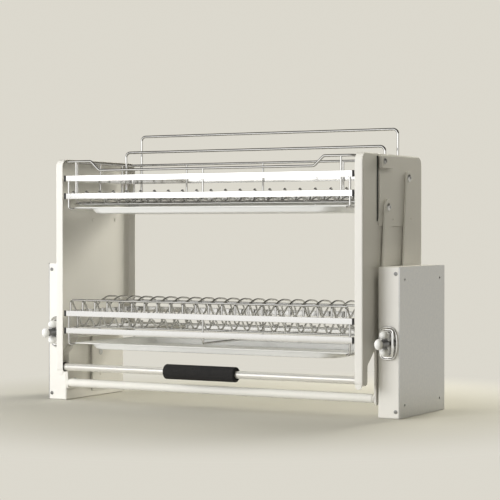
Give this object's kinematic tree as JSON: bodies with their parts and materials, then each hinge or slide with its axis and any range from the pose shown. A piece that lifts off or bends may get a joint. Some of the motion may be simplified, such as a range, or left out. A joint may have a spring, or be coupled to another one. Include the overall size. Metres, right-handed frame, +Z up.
{
  "type": "pull down dish rack",
  "caption": "Two-tier wire dish rack on parallel arms between wall-cabinet side housings; it pulls forward and down, with bowl basket, plate rack, drip trays and bar handle.",
  "frame": {"origin": "bottom centre of the whole rack, on the cabinet floor that the side housings stand on", "axes": "+X to the right across the cabinet, -Y out of the cabinet's open front, +Z up"},
  "size_m": [0.864, 0.298, 0.5999],
  "materials": {
    "powder_coat": "cream white powder coat, satin",
    "chrome": "bright chrome plate",
    "zinc": "bright zinc plate",
    "nylon": "white nylon",
    "black_rubber": "matt black",
    "spring_steel": "oiled spring wire",
    "satin_tube": "satin, warm silver",
    "foam": "black foam sleeve",
    "tray_sheet": "smooth satin grey"
  },
  "bodies": {
    "housings": {"housing_shell_left": "powder_coat", "housing_shell_right": "powder_coat", "mounting_plate_left": "zinc", "mounting_plate_right": "zinc", "knob_escutcheon_left": "chrome", "knob_escutcheon_right": "chrome", "cover_screw_upper_left": "zinc", "cover_screw_upper_right": "zinc", "cover_screw_lower_left": "zinc", "cover_screw_lower_right": "zinc", "shaft_bearing_left": "nylon", "shaft_bearing_right": "nylon", "rear_pivot_pin_left": "zinc", "rear_pivot_pin_right": "zinc", "rear_pivot_washer_left": "nylon", "rear_pivot_washer_right": "nylon", "arm_rest_stop_left": "black_rubber", "arm_rest_stop_right": "black_rubber", "lift_spring_left": "spring_steel", "lift_spring_right": "spring_steel", "spring_hanger_left": "zinc", "spring_hanger_right": "zinc", "rotary_damper_left": "black_rubber", "rotary_damper_right": "black_rubber", "adjuster_pin_left": "zinc", "adjuster_pin_right": "zinc"},
    "front_arms": {"cross_tube": "powder_coat", "front_arm_left": "powder_coat", "front_arm_right": "powder_coat", "drive_shaft_left": "zinc", "drive_shaft_right": "zinc", "cam_wheel_left": "zinc", "cam_wheel_right": "zinc"},
    "rear_arm_left": {"rear_arm_left": "powder_coat"},
    "rear_arm_right": {"rear_arm_right": "powder_coat"},
    "rack": {"upper_basket_frame": "chrome", "upper_basket_floor": "chrome", "bowl_rail_rear": "chrome", "bowl_rail_front": "chrome", "lower_basket_frame": "chrome", "plate_rack": "chrome", "handle_tube": "satin_tube", "handle_grip": "foam", "side_panel_left": "powder_coat", "side_panel_right": "powder_coat", "hanger_plate_left": "powder_coat", "hanger_plate_right": "powder_coat", "handle_socket_left": "black_rubber", "handle_socket_right": "black_rubber", "front_pivot_bolt_left": "zinc", "front_pivot_bolt_right": "zinc", "rear_pivot_bolt_left": "zinc", "rear_pivot_bolt_right": "zinc"},
    "upper_tray": {"upper_drip_tray": "tray_sheet"},
    "lower_tray": {"lower_drip_tray": "tray_sheet"},
    "adjuster_left": {"adjuster_lever_left": "zinc", "adjuster_knob_left": "nylon"},
    "adjuster_right": {"adjuster_lever_right": "zinc", "adjuster_knob_right": "nylon"}
  },
  "joints": [
    {"name": "pull_down", "type": "hinge", "parent": "housings", "child": "front_arms", "pos_m": [0, -0.068, 0.039], "axis": [1, 0, 0], "range_deg": [0, 105]},
    {"name": "rack_level", "type": "hinge", "parent": "front_arms", "child": "rack", "pos_m": [0, -0.034, 0.427], "axis": [1, 0, 0], "range_deg": [-105, 0]},
    {"name": "rear_arm_left_swing", "type": "hinge", "parent": "housings", "child": "rear_arm_left", "pos_m": [-0.3796, 0.035, 0.101], "axis": [1, 0, 0], "range_deg": [0, 105]},
    {"name": "rear_arm_right_swing", "type": "hinge", "parent": "housings", "child": "rear_arm_right", "pos_m": [0.3796, 0.035, 0.101], "axis": [1, 0, 0], "range_deg": [0, 105]},
    {"name": "upper_tray_slide", "type": "slide", "parent": "rack", "child": "upper_tray", "axis": [0, -1, 0], "range_m": [0, 0.2]},
    {"name": "lower_tray_slide", "type": "slide", "parent": "rack", "child": "lower_tray", "axis": [0, -1, 0], "range_m": [0, 0.2]},
    {"name": "adjuster_left_tip", "type": "hinge", "parent": "housings", "child": "adjuster_left", "pos_m": [-0.4072, -0.01793, 0.152], "axis": [1, 0, 0], "range_deg": [-11, 11]},
    {"name": "adjuster_right_tip", "type": "hinge", "parent": "housings", "child": "adjuster_right", "pos_m": [0.4072, -0.01793, 0.152], "axis": [1, 0, 0], "range_deg": [-11, 11]}
  ],
  "couplings": [
    {"joint": "rack_level", "follows": "pull_down", "ratio": -1},
    {"joint": "rear_arm_left_swing", "follows": "pull_down", "ratio": 1},
    {"joint": "rear_arm_right_swing", "follows": "pull_down", "ratio": 1}
  ]
}
